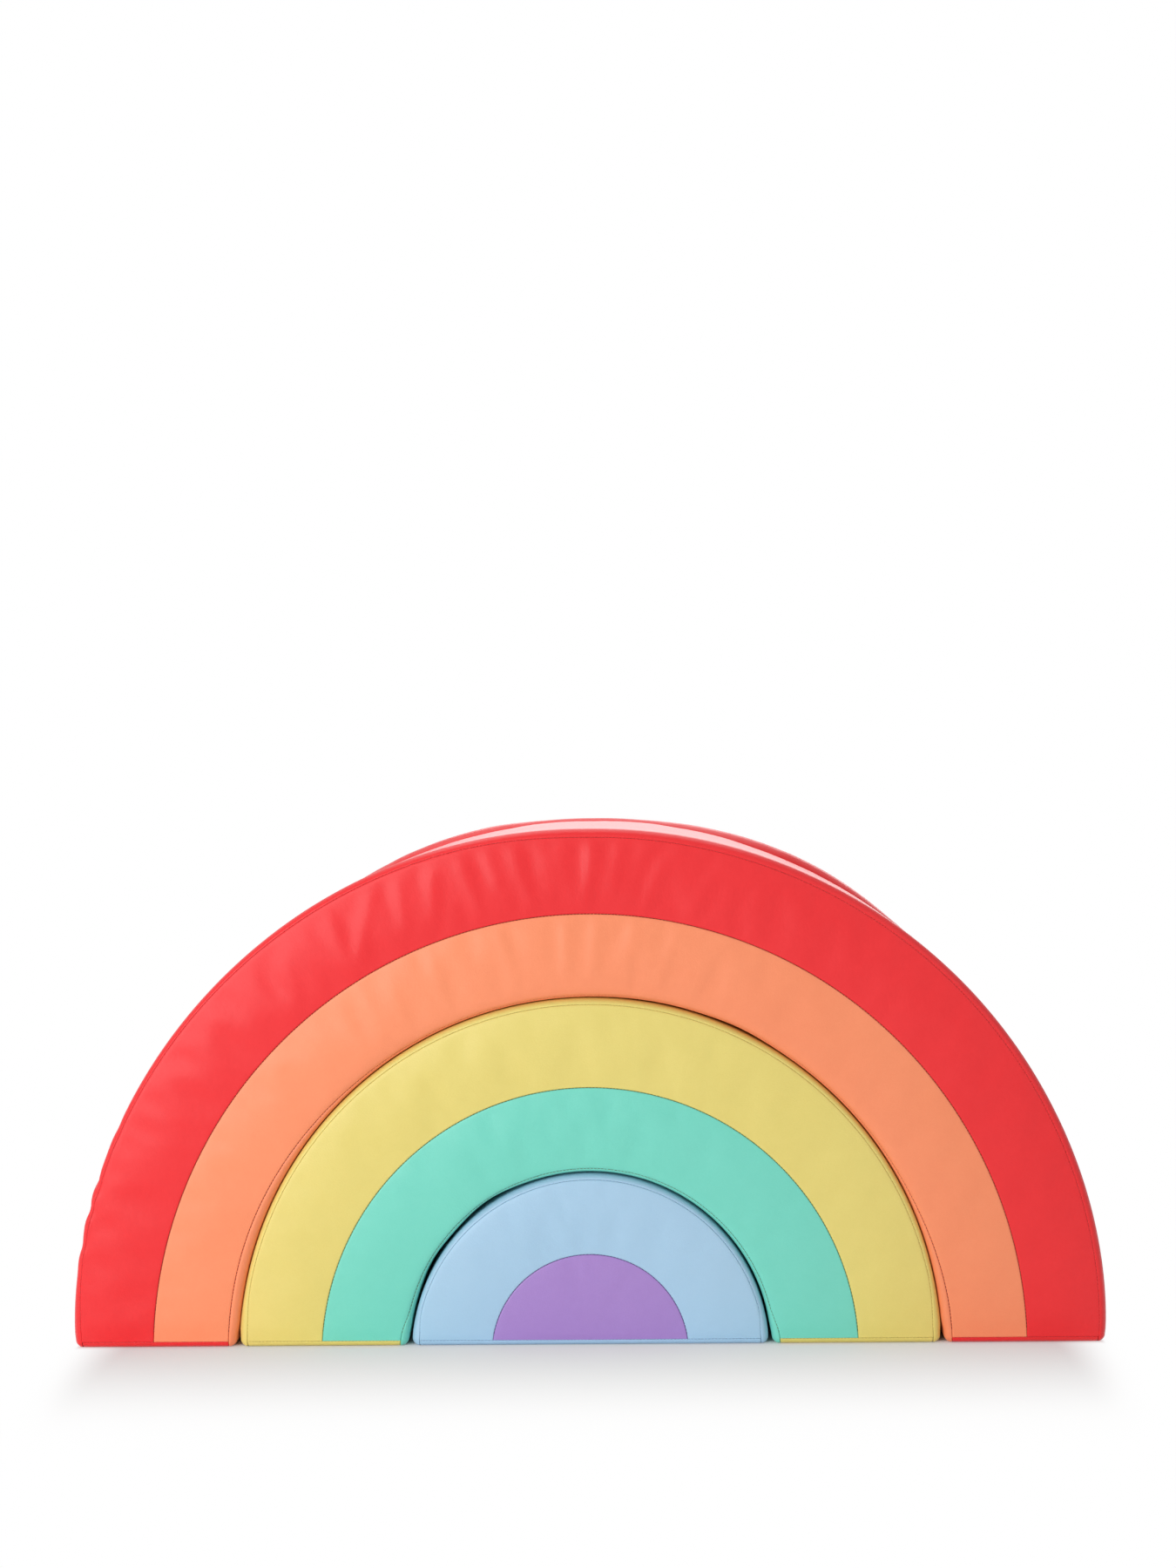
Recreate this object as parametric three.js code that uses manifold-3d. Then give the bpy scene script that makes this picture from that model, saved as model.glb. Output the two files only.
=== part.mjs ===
// A soft play rainbow: three foam blocks in sewn covers that nest into each other on the floor.
// The outer arch is red and orange, the middle arch yellow and teal, the half disc light blue and purple.
// Millimetres, +Z up. The origin is on the floor, midway between the feet and midway front to back.
import * as THREE from "three";
import { mergeVertices } from "three/addons/utils/BufferGeometryUtils.js";
import Module from "manifold-3d";

// Overall size: across the feet, from the floor to the top, and from the front crown to the back crown.
const WIDTH = 1200;
const HEIGHT = 600;
const DEPTH = 300;
// Width of each coloured band on the floor, and at the top of the rainbow. Purple fills what they leave.
const BLUE_FOOT = 94;
const BLUE_CROWN = 92;
const TEAL_FOOT = 100;
const TEAL_CROWN = 98;
const YELLOW_FOOT = 96;
const YELLOW_CROWN = 102;
const ORANGE_FOOT = 96;
const ORANGE_CROWN = 96;
const RED_FOOT = 92;
const RED_CROWN = 98;
// How far the outer rim stands out at its shoulders, past the arc through its feet and its top, and the power
// that puts the shoulders low on the arc.
const SHOULDER = 6;
const SHOULDER_POWER = 0.6;
// Play between a block and the opening that it nests in.
const NEST_GAP = 4;

// The cover: sheet thickness, its clearance to the foam, and the gap that stands for a sewn seam.
const COVER = 1.2;
const FIT = 0.3;
const SEAM_GAP = 0.4;
// Rounded edge of the foam, over which the gusset turns onto the face and under the foot.
const EDGE_RADIUS = 9;
// How far the face is drawn in along its seams, below the crown of each band.
const SEAM_DIP = 3;
// Share of the arc over which the crown rises from the drawn-in foot.
const CROWN_RUN = 0.07;

// The zip: a shallow trough in the gusset, two tapes with a row of coil each, a slider and two stops.
const ZIP_SINK = 3;
const TROUGH_SLOPE = 7;
const TAPE_WIDTH = 14;
const TAPE_THICKNESS = 0.8;
const COIL_WIDTH = 2.9;
const COIL_HEIGHT = 1.9;
const COIL_GAP = 0.6;
const SLIDER_LENGTH = 14;
const SLIDER_PLATE = 1.4;
const SLIDER_WALL = 1.3;
const STOP_LENGTH = 4;
// Length of the half disc's base that is left sewn at each end of its zip.
const BASE_ZIP_END = 34;
// Steps of an arch's arc between the floor and each end of its zip.
const ZIP_END_STEPS = 3;

// Facets along each half circle, and round each rounded edge.
const OUTER_STEPS = 30;
const MIDDLE_STEPS = 24;
const HALF_DISC_STEPS = 18;
const EDGE_STEPS = 2;

const QUARTER = Math.PI / 2;
const wasm = await Module();
wasm.setup();

// An arc that stands on the floor: half its width there, its height at the top, and how full its shoulders are.
class Arc {
  constructor(foot, crown, shoulder = 0) {
    this.foot = foot;
    this.crown = crown;
    this.shoulder = shoulder;
    this.radius = (foot * foot + crown * crown) / (2 * crown);
    this.centre = crown - this.radius;
  }
  // The arc on the inner side of a band with these widths.
  within(foot, crown) {
    return new Arc(this.foot - foot, this.crown - crown);
  }
  grown(by) {
    return new Arc(this.foot + by, this.crown + by, this.shoulder);
  }
  towards(other, share) {
    const between = (from, to) => from + share * (to - from);
    const foot = between(this.foot, other.foot);
    return new Arc(foot, between(this.crown, other.crown), between(this.shoulder, other.shoulder));
  }
  // The angle at a share of the way from the right foot to the left one, both cut off at a height.
  angle(share, height) {
    const start = Math.asin((height - this.centre) / this.radius);
    return start + share * (Math.PI - 2 * start);
  }
  at(share, height) {
    const angle = this.angle(share, height);
    const up = (1 - Math.abs(2 * share - 1)) ** SHOULDER_POWER;
    const radius = this.radius + this.shoulder * Math.sin(Math.PI * up);
    return [radius * Math.cos(angle), this.centre + radius * Math.sin(angle)];
  }
}

// The middle of the half disc's base, where its bands have no width left.
const AXIS = { at: (share, height) => [0, height], grown: () => AXIS };

// Arcs between the bands, from the outside in.
const redArc = new Arc(WIDTH / 2, HEIGHT, SHOULDER);
const orangeArc = redArc.within(RED_FOOT, RED_CROWN);
const outerOpening = orangeArc.within(ORANGE_FOOT, ORANGE_CROWN);
const yellowArc = outerOpening.within(NEST_GAP, NEST_GAP);
const tealArc = yellowArc.within(YELLOW_FOOT, YELLOW_CROWN);
const middleOpening = tealArc.within(TEAL_FOOT, TEAL_CROWN);
const blueArc = middleOpening.within(NEST_GAP, NEST_GAP);
const purpleArc = blueArc.within(BLUE_FOOT, BLUE_CROWN);

// Depth of the zip's parts below the face of the cover.
const tapeTop = ZIP_SINK + COVER + FIT;
const tapeBottom = tapeTop + TAPE_THICKNESS;
const coilTop = tapeTop - COIL_HEIGHT;
// Distances from the zip's middle line, across the gusset.
const coilSide = COIL_GAP / 2 + COIL_WIDTH;
const sliderSide = coilSide + FIT + SLIDER_WALL;
const slotSide = sliderSide + SEAM_GAP;
const tapeSide = COIL_GAP / 2 + TAPE_WIDTH;
const troughSide = tapeSide + FIT;

// Depth of the flat faces along their seams, and the middle of the rounded edges.
const seamDepth = DEPTH / 2 - SEAM_DIP;
const edgeDepth = seamDepth - EDGE_RADIUS;

const foam = COVER + FIT;
const rainbow = new THREE.Group();

function material(colour, roughness, metalness) {
  return new THREE.MeshStandardMaterial({ color: colour, roughness, metalness });
}

const LEATHER = {
  red: material("#ee3f43", 0.45, 0),
  orange: material("#fb9468", 0.45, 0),
  yellow: material("#e6d57a", 0.45, 0),
  teal: material("#78dac5", 0.45, 0),
  blue: material("#aad0ea", 0.45, 0),
  purple: material("#ac89cf", 0.45, 0),
};
const FOAM = material("#f1ead6", 0.95, 0);
const NYLON = material("#e9e6df", 0.6, 0);
const METAL = material("#b9bcc0", 0.35, 0.9);

function addMesh(parent, name, geometry, finish) {
  const mesh = new THREE.Mesh(geometry, finish);
  mesh.name = name;
  parent.add(mesh);
}

// A geometry from triangles of points, without the ones that have shrunk to a line, facing outwards.
function closedGeometry(triangles) {
  const points = new THREE.BufferGeometry();
  points.setAttribute("position", new THREE.Float32BufferAttribute(triangles.flat(2), 3));
  const merged = mergeVertices(points, 1e-3);
  const corners = [];
  for (let i = 0; i < merged.index.count; i += 3) {
    const [a, b, c] = [0, 1, 2].map((k) => merged.index.getX(i + k));
    if (a !== b && b !== c && c !== a) corners.push(a, b, c);
  }
  const volume = triangles.reduce((sum, [a, b, c]) => sum + dot(a, cross(b, c)), 0);
  if (volume < 0) corners.reverse();
  merged.setIndex(corners);
  merged.computeVertexNormals();
  return merged;
}

function cross(a, b) {
  return [a[1] * b[2] - a[2] * b[1], a[2] * b[0] - a[0] * b[2], a[0] * b[1] - a[1] * b[0]];
}

function dot(a, b) {
  return a[0] * b[0] + a[1] * b[1] + a[2] * b[2];
}

// A solid swept through sections. Each section is a pair of chains with as many points in both, such as the
// outside and the inside of a sheet. A solid that closes on the axis has no wall along the chains' start.
function sweep(sections, hasStartWall = true) {
  const triangles = [];
  const quad = (a, b, c, d) => triangles.push([a, b, c], [a, c, d]);
  const last = sections[0][0].length - 1;
  for (let s = 0; s + 1 < sections.length; s += 1) {
    const [front, back] = sections[s];
    const [nextFront, nextBack] = sections[s + 1];
    for (let i = 0; i < last; i += 1) {
      quad(front[i], nextFront[i], nextFront[i + 1], front[i + 1]);
      quad(back[i], back[i + 1], nextBack[i + 1], nextBack[i]);
    }
    if (hasStartWall) quad(front[0], back[0], nextBack[0], nextFront[0]);
    quad(front[last], nextFront[last], nextBack[last], back[last]);
  }
  const [startFront, startBack] = sections[0];
  const [endFront, endBack] = sections[sections.length - 1];
  for (let i = 0; i < last; i += 1) {
    quad(startFront[i], startFront[i + 1], startBack[i + 1], startBack[i]);
    quad(endFront[i], endBack[i], endBack[i + 1], endFront[i + 1]);
  }
  return closedGeometry(triangles);
}

function solidOf(geometry) {
  return new wasm.Manifold(
    new wasm.Mesh({
      numProp: 3,
      vertProperties: geometry.attributes.position.array,
      triVerts: new Uint32Array(geometry.index.array),
    }),
  );
}

function cutAway(geometry, cutter) {
  const mesh = solidOf(geometry).subtract(solidOf(cutter)).getMesh();
  const cut = new THREE.BufferGeometry();
  cut.setAttribute("position", new THREE.BufferAttribute(mesh.vertProperties, 3));
  cut.setIndex(new THREE.BufferAttribute(mesh.triVerts, 1));
  cut.computeVertexNormals();
  return cut;
}

function steps(count) {
  return Array.from({ length: count + 1 }, (_, i) => i / count);
}

// How far the crown of a band stands out at a share of the arc: nothing at the feet, all of it above them.
function crownShare(share) {
  const rise = Math.min(1, Math.min(share, 1 - share) / CROWN_RUN);
  return rise * rise * (3 - 2 * rise);
}

// Stations along an arc where the rounded foot turns under: a turn of 0 is under the foot, and 1 is upright.
function footTurns() {
  return steps(EDGE_STEPS).map((share) => share * QUARTER);
}

// Every station of a gusset or a core: up the right foot, over the arc and down the left foot. Each gives the
// inset and the height of a layer that lies deep below the face of the cover.
function stations(count) {
  const foot = (share) => (turn) => ({
    share,
    inset: (deep) => EDGE_RADIUS - (EDGE_RADIUS - deep) * Math.sin(turn),
    height: (deep) => EDGE_RADIUS - (EDGE_RADIUS - deep) * Math.cos(turn),
  });
  const over = steps(count).map((share) => ({
    share,
    inset: (deep) => deep,
    height: () => EDGE_RADIUS,
  }));
  const under = footTurns().slice(0, -1);
  return [...under.map(foot(0)), ...over, ...under.reverse().map(foot(1))];
}

// The rounded edge between a face and a rim as arcs and depths, from the face to the rim. A sign of 1 is an
// outer rim and -1 the rim of an opening.
function edgePoints(faceEdge, sign, inset) {
  const radius = EDGE_RADIUS - inset;
  return steps(EDGE_STEPS).map((share) => {
    const turn = share * QUARTER;
    const arc = faceEdge.grown(sign * radius * Math.sin(turn));
    return [arc, edgeDepth + radius * Math.cos(turn)];
  });
}

function place(points, side, share, height) {
  return points.map(([arc, depth]) => {
    const [x, z] = arc.at(share, height);
    return [x, side * depth, z];
  });
}

// One coloured band of a face, crowned between its two seams.
function bandPoints(from, to, inset, share) {
  return [0, 0.5, 1].map((across) => {
    const bulge = SEAM_DIP * crownShare(share) * (1 - (2 * across - 1) ** 2);
    const arc = from === AXIS && across === 0 ? AXIS : arcBetween(from, to, across);
    return [arc, seamDepth + bulge - inset];
  });
}

function arcBetween(from, to, across) {
  return from === AXIS ? new Arc(to.foot * across, to.crown * across) : from.towards(to, across);
}

// A face panel: front has side -1 and back has side 1.
function facePanel(from, to, side, count) {
  const height = EDGE_RADIUS + SEAM_GAP;
  const sections = steps(count).map((share) =>
    [0, COVER].map((deep) => place(bandPoints(from, to, deep, share), side, share, height)),
  );
  return sweep(sections, from !== AXIS);
}

// The foam core of a block, from the opening, or the middle of the base, out to the rim.
function foamCore(inner, seam, outer, count) {
  const faceOuter = outer.grown(-EDGE_RADIUS);
  const faceInner = inner === AXIS ? AXIS : inner.grown(EDGE_RADIUS);
  const sections = stations(count).map((station) => {
    const inset = station.inset(foam);
    const innerEdge = inner === AXIS ? [] : edgePoints(faceInner, -1, inset).slice(1).reverse();
    const outerEdge = edgePoints(faceOuter, 1, inset).slice(1);
    const innerBand = bandPoints(faceInner, seam, inset, station.share);
    const outerBand = bandPoints(seam, faceOuter, inset, station.share).slice(1);
    const points = [...innerEdge, ...innerBand, ...outerBand, ...outerEdge];
    return [-1, 1].map((side) => place(points, side, station.share, station.height(foam)));
  });
  return sweep(sections, inner !== AXIS);
}

// The strip over an outer rim, turned over both rounded edges and under the feet.
function rimGusset(outer, count) {
  const faceOuter = outer.grown(-EDGE_RADIUS);
  const sections = stations(count).map((station) =>
    [0, COVER].map((deep) => {
      const points = edgePoints(faceOuter, 1, station.inset(deep));
      const height = station.height(deep);
      const front = place(points, -1, station.share, height);
      return [...front, ...place(points, 1, station.share, height).reverse()];
    }),
  );
  return sweep(sections);
}

// Where a zip runs: 1 along it, 0 past its ends, where the two strips are sewn together.
function zipShare(index, count) {
  return index >= ZIP_END_STEPS && index <= count - ZIP_END_STEPS ? 1 : 0;
}

// Half of the strip that lines an opening, from its seam on the face to the zip in the middle.
function innerGusset(opening, side, count) {
  const faceInner = opening.grown(EDGE_RADIUS);
  const sections = stations(count).map((station) => {
    const zip = zipShare(Math.round(station.share * count), count);
    return [0, COVER].map((deep) => {
      const inset = station.inset(deep);
      const flat = opening.grown(inset);
      const sunk = opening.grown(inset + zip * ZIP_SINK);
      const edge = zip ? slotSide : SEAM_GAP / 2;
      const trough = [[flat, troughSide + TROUGH_SLOPE], [sunk, troughSide], [sunk, edge]];
      const points = [...edgePoints(faceInner, -1, inset), ...trough];
      return place(points, side, station.share, station.height(deep));
    });
  });
  return sweep(sections);
}

// The panel under one foot of an arch: it turns up the front and the back, between the two gussets.
function archBase(inner, outer, left) {
  const ends = [inner.grown(EDGE_RADIUS + SEAM_GAP), outer.grown(-EDGE_RADIUS - SEAM_GAP)];
  const sections = ends.map((arc) =>
    [0, COVER].map((deep) => {
      const half = baseTurn(deep);
      const points = [...half.map(([y, z]) => [-y, z]), ...half.reverse()];
      return points.map(([y, z]) => [arc.at(left ? 1 : 0, z)[0], y, z]);
    }),
  );
  return sweep(sections);
}

// The turned-up side of a base panel as depths and heights, from its top seam to the floor.
function baseTurn(deep) {
  const radius = EDGE_RADIUS - deep;
  return footTurns()
    .reverse()
    .map((turn) => [edgeDepth + radius * Math.sin(turn), EDGE_RADIUS - radius * Math.cos(turn)]);
}

// Half of the half disc's base panel, from its seam on the face to the zip in the middle.
function halfDiscBase(outer, side) {
  const end = outer.grown(-EDGE_RADIUS - SEAM_GAP);
  const zipEnd = end.foot - BASE_ZIP_END;
  const runs = [null, zipEnd + TROUGH_SLOPE, zipEnd, -zipEnd, -zipEnd - TROUGH_SLOPE, null];
  const sections = runs.map((run, index) => {
    const zip = Math.abs(run) === zipEnd ? 1 : 0;
    return [0, COVER].map((deep) => {
      const sunk = deep + zip * ZIP_SINK;
      const edge = zip ? slotSide : SEAM_GAP / 2;
      const trough = [[troughSide + TROUGH_SLOPE, deep], [troughSide, sunk], [edge, sunk]];
      return [...baseTurn(deep), ...trough].map(([y, z]) => {
        const x = run ?? end.at(index === 0 ? 0 : 1, z)[0];
        return [x, side * y, z];
      });
    });
  });
  return sweep(sections);
}

// The groove cut in the foam for the sunk gusset and the tapes, through spots along the zip. For every zip,
// where(deep, y, spot) places a point that lies deep below the face of the cover.
function zipGroove(where, spots) {
  const lip = foam - FIT / 2;
  const floor = tapeBottom + FIT;
  const wide = troughSide + TROUGH_SLOPE + FIT;
  const narrow = troughSide + FIT;
  const bed = [[lip, -wide], [floor, -narrow], [floor, narrow], [lip, wide]];
  const sections = spots.map((spot) => [
    bed.map(([, y]) => where(-foam, y, spot)),
    bed.map(([deep, y]) => where(deep, y, spot)),
  ]);
  return sweep(sections);
}

// One tape with its row of coil along the inner edge.
function zipTape(where, spots, side) {
  const nearCoil = COIL_GAP / 2;
  const offCoil = coilSide + FIT;
  const top = [[nearCoil, coilTop], [coilSide, coilTop], [offCoil, tapeTop], [tapeSide, tapeTop]];
  const sections = spots.map((spot) => [
    top.map(([y, deep]) => where(deep, side * y, spot)),
    top.map(([y]) => where(tapeBottom, side * y, spot)),
  ]);
  return sweep(sections);
}

// A slider or a stop straddles both rows of coil: a plate over them with a wall down each side.
function straddle(length, clearance) {
  const plateBottom = coilTop - clearance;
  const plateTop = plateBottom - SLIDER_PLATE;
  const wallBottom = tapeTop - clearance;
  const inside = sliderSide - SLIDER_WALL;
  const outline = [
    [plateTop, -sliderSide],
    [wallBottom, -sliderSide],
    [wallBottom, -inside],
    [plateBottom, -inside],
    [plateBottom, inside],
    [wallBottom, inside],
    [wallBottom, sliderSide],
    [plateTop, sliderSide],
  ];
  const shape = new THREE.Shape(outline.map(([deep, y]) => new THREE.Vector2(deep, y)));
  const geometry = new THREE.ExtrudeGeometry(shape, { depth: length, bevelEnabled: false });
  return geometry.translate(0, 0, -length / 2);
}

// Slider and stops of a zip. turned(along) gives a group whose X points into the block, at a distance along
// the zip from its middle, and half is half the length of the zip.
function zipHardware(prefix, turned, half, clearance) {
  const stopAt = half - STOP_LENGTH / 2;
  const sliderAt = half - STOP_LENGTH - SEAM_GAP - SLIDER_LENGTH / 2;
  addMesh(turned(sliderAt), prefix + "_zip_slider", straddle(SLIDER_LENGTH, clearance), METAL);
  addMesh(turned(stopAt), prefix + "_zip_stop_right", straddle(STOP_LENGTH, clearance), METAL);
  addMesh(turned(-stopAt), prefix + "_zip_stop_left", straddle(STOP_LENGTH, clearance), METAL);
}

// An arch: foam, four face panels, the gussets, a base panel under each foot, and the zip in its opening.
function addArch({ prefix, block, opening, seam, outer, innerColour, outerColour, count }) {
  const where = (deep, y, share) => {
    const [x, z] = opening.grown(deep).at(share, EDGE_RADIUS);
    return [x, y, z];
  };
  const spots = steps(count).slice(ZIP_END_STEPS, count - ZIP_END_STEPS + 1);
  const grooveSpots = steps(count).slice(ZIP_END_STEPS - 1, count - ZIP_END_STEPS + 2);
  const core = foamCore(opening, seam, outer, count);
  addMesh(rainbow, block + "_foam", cutAway(core, zipGroove(where, grooveSpots)), FOAM);

  const faces = [[-1, "front"], [1, "back"]];
  const faceOuter = outer.grown(-EDGE_RADIUS - SEAM_GAP);
  const faceInner = opening.grown(EDGE_RADIUS + SEAM_GAP);
  for (const [side, face] of faces) {
    const outerBand = facePanel(seam.grown(SEAM_GAP / 2), faceOuter, side, count);
    const innerBand = facePanel(faceInner, seam.grown(-SEAM_GAP / 2), side, count);
    addMesh(rainbow, `${outerColour}_${face}_panel`, outerBand, LEATHER[outerColour]);
    addMesh(rainbow, `${innerColour}_${face}_panel`, innerBand, LEATHER[innerColour]);
    const lining = innerGusset(opening, side, count);
    addMesh(rainbow, `${innerColour}_inner_gusset_${face}`, lining, LEATHER[innerColour]);
    addMesh(rainbow, `${prefix}_zip_tape_${face}`, zipTape(where, spots, side), NYLON);
  }
  addMesh(rainbow, `${outerColour}_rim_gusset`, rimGusset(outer, count), LEATHER[outerColour]);
  addMesh(rainbow, block + "_base_left", archBase(opening, outer, true), LEATHER[outerColour]);
  addMesh(rainbow, block + "_base_right", archBase(opening, outer, false), LEATHER[outerColour]);

  const endAngle = opening.angle(spots[0], EDGE_RADIUS);
  const turned = (along) => {
    const spoke = new THREE.Group();
    spoke.position.z = opening.centre;
    spoke.rotation.y = along / opening.radius - QUARTER;
    const seat = new THREE.Group();
    seat.position.x = opening.radius;
    spoke.add(seat);
    rainbow.add(spoke);
    return seat;
  };
  // A straight slider on a faceted curve rides clear of the middle of each facet and of its own ends.
  const facetSag = opening.radius * (1 - Math.cos(QUARTER / count));
  const sliderSag = SLIDER_LENGTH ** 2 / (8 * opening.radius);
  const clearance = FIT + facetSag + sliderSag;
  zipHardware(prefix, turned, (QUARTER - endAngle) * opening.radius, clearance);
}

// The half disc: foam, four face panels, the rim gusset, and a base in two strips with a zip between them.
function addHalfDisc() {
  const prefix = "half";
  const block = "half_disc";
  const count = HALF_DISC_STEPS;
  const zipEnd = blueArc.foot - EDGE_RADIUS - SEAM_GAP - BASE_ZIP_END;
  const where = (deep, y, x) => [x, y, deep];
  const past = zipEnd + TROUGH_SLOPE;
  const core = foamCore(AXIS, purpleArc, blueArc, count);
  addMesh(rainbow, block + "_foam", cutAway(core, zipGroove(where, [past, -past])), FOAM);

  const faces = [[-1, "front"], [1, "back"]];
  const faceOuter = blueArc.grown(-EDGE_RADIUS - SEAM_GAP);
  for (const [side, face] of faces) {
    const blueBand = facePanel(purpleArc.grown(SEAM_GAP / 2), faceOuter, side, count);
    const purpleBand = facePanel(AXIS, purpleArc.grown(-SEAM_GAP / 2), side, count);
    addMesh(rainbow, `blue_${face}_panel`, blueBand, LEATHER.blue);
    addMesh(rainbow, `purple_${face}_panel`, purpleBand, LEATHER.purple);
    addMesh(rainbow, `${block}_base_${face}`, halfDiscBase(blueArc, side), LEATHER.blue);
    addMesh(rainbow, `${prefix}_zip_tape_${face}`, zipTape(where, [zipEnd, -zipEnd], side), NYLON);
  }
  addMesh(rainbow, "blue_rim_gusset", rimGusset(blueArc, count), LEATHER.blue);

  const turned = (along) => {
    const seat = new THREE.Group();
    seat.position.x = along;
    seat.rotation.y = -QUARTER;
    rainbow.add(seat);
    return seat;
  };
  zipHardware(prefix, turned, zipEnd, FIT);
}

addArch({
  prefix: "outer",
  block: "outer_arch",
  opening: outerOpening,
  seam: orangeArc,
  outer: redArc,
  innerColour: "orange",
  outerColour: "red",
  count: OUTER_STEPS,
});
addArch({
  prefix: "middle",
  block: "middle_arch",
  opening: middleOpening,
  seam: tealArc,
  outer: yellowArc,
  innerColour: "teal",
  outerColour: "yellow",
  count: MIDDLE_STEPS,
});
addHalfDisc();

export default rainbow;
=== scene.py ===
import math

import bmesh
import bpy
import numpy as np
from mathutils import Matrix, Vector


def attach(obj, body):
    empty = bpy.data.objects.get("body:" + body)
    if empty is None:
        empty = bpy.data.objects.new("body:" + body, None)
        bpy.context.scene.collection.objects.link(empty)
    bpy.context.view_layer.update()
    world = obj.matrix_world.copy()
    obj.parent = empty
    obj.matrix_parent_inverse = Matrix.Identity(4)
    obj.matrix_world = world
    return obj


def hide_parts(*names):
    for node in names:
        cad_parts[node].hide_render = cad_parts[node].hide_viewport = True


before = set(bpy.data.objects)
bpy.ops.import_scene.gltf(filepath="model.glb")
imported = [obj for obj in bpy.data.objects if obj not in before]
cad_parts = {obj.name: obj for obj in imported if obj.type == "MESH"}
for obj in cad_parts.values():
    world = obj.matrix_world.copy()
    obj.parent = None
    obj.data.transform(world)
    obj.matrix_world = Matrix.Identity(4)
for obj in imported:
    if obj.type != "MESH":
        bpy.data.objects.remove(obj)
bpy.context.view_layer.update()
scene = bpy.context.scene


# The three foam cores: an outer arch, a middle arch and a half disc, cut from firm polyurethane foam with
# rounded edges. They stand on the floor inside each other, and each one fills the cover sewn round it.
MM = 0.001
EDGE_RADIUS = 9.0
SEAM_DEPTH = 147.0
EDGE_DEPTH = SEAM_DEPTH - EDGE_RADIUS
SHOULDER_POWER = 0.6
FOAM_BELOW_COVER = 3.0
FOAM_ROWS = 90
FOOT_ROWS = 6
ZIP_GROOVE_DEPTH = 6.0
ZIP_GROOVE_REACH = 0.08


class Block:
    """One block of the rainbow: half widths on the floor and heights of its opening, colour seam and rim.

    A shoulder makes the rim fuller between its feet and its top. The skin is walked round with a number:
    0 front edge of the opening, or the base's middle on a half disc, 1 front colour seam, 2 and 3 front
    rounded edge, 4 and 5 back rounded edge, 6 back colour seam, 7 back edge of the opening, and on an arch
    8 to 9 the lining of the opening and 10 the start again.
    """

    def __init__(self, body, opening, seam, rim, shoulder, columns):
        self.body = body
        self.columns = columns
        self.is_arch = opening is not None
        self.rim_length = math.pi * rim[1]
        face_edge = (rim[0] - EDGE_RADIUS, rim[1] - EDGE_RADIUS, shoulder)
        inner_edge = (0.0, 0.0)
        if self.is_arch:
            inner_edge = (opening[0] + EDGE_RADIUS, opening[1] + EDGE_RADIUS)
        front = [inner_edge, seam, face_edge, face_edge]
        self.arcs = front + front[::-1] + [inner_edge, inner_edge, inner_edge]
        turn = EDGE_RADIUS * math.pi / 2
        bands = [seam[1] - inner_edge[1], face_edge[1] - seam[1]]
        lengths = bands + [turn, 2 * EDGE_DEPTH, turn] + bands[::-1]
        if self.is_arch:
            lengths += [turn, 2 * EDGE_DEPTH, turn]
        self.distances = np.concatenate([[0.0], np.cumsum(lengths)])
        self.marks = np.arange(len(self.distances), dtype=float)

    def distance(self, mark):
        return np.interp(mark, self.marks, self.distances)

    def mark(self, distance):
        round_again = np.where(distance < 0, distance + self.distances[-1], distance)
        return np.interp(round_again, self.distances, self.marks)

    def arc_point(self, arc, share, height):
        """The point of an arc at a share of the way from the right foot to the left, and its angle."""
        foot, crown, *shoulder = arc
        radius = (foot * foot + crown * crown) / (2 * crown)
        centre = crown - radius
        start = np.arcsin((height - centre) / radius)
        angle = start + share * (math.pi - 2 * start)
        for fullness in shoulder:
            radius = radius + fullness * np.sin(math.pi * (1 - np.abs(2 * share - 1)) ** SHOULDER_POWER)
        return radius * np.cos(angle), centre + radius * np.sin(angle), angle

    def place(self, mark, share, rise, height):
        """Points of the skin in metres. A rise lifts the skin off the block, square to it."""
        mark, share, rise, height = np.broadcast_arrays(mark, share, rise, height)
        points = np.zeros(mark.shape + (3,))
        part = np.clip(np.floor(mark).astype(int), 0, len(self.marks) - 2)
        for k in np.unique(part):
            on = part == k
            points[on] = self.place_on(k, mark[on] - k, share[on], rise[on], height[on])
        return points * MM

    def place_on(self, k, along, share, rise, height):
        if k in (0, 1, 5, 6):
            ends = [self.band_end(j, share, height) for j in (k, k + 1)]
            x = ends[0][0] + along * (ends[1][0] - ends[0][0])
            z = ends[0][1] + along * (ends[1][1] - ends[0][1])
            side = -1 if k < 2 else 1
            return np.stack([x, side * (SEAM_DEPTH + rise), z], axis=-1)
        x, z, angle = self.arc_point(self.arcs[k], share, height)
        outward = 1 if k < 7 else -1
        out = np.ones_like(along)
        deep = np.zeros_like(along)
        y = EDGE_DEPTH * np.where(k < 7, 2 * along - 1, 1 - 2 * along)
        if k in (2, 4, 7, 9):
            turn = along * math.pi / 2
            from_face = k in (2, 7)
            out = np.sin(turn) if from_face else np.cos(turn)
            deep = np.cos(turn) if from_face else np.sin(turn)
            side = -1 if k in (2, 9) else 1
            y = side * (EDGE_DEPTH + (EDGE_RADIUS + rise) * deep)
        reach = outward * (EDGE_RADIUS + rise) * out
        return np.stack([x + reach * np.cos(angle), y, z + reach * np.sin(angle)], axis=-1)

    def band_end(self, j, share, height):
        if not self.is_arch and j in (0, 7):
            return np.zeros_like(share), height
        return self.arc_point(self.arcs[j], share, height)[:2]


outer_arch = Block("outer_arch", (412.0, 406.0), (508.0, 502.0), (600.0, 600.0), 6.0, 300)
middle_arch = Block("middle_arch", (212.0, 202.0), (312.0, 300.0), (408.0, 402.0), 0.0, 220)
half_disc = Block("half_disc", None, (114.0, 106.0), (208.0, 198.0), 0.0, 130)


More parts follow.
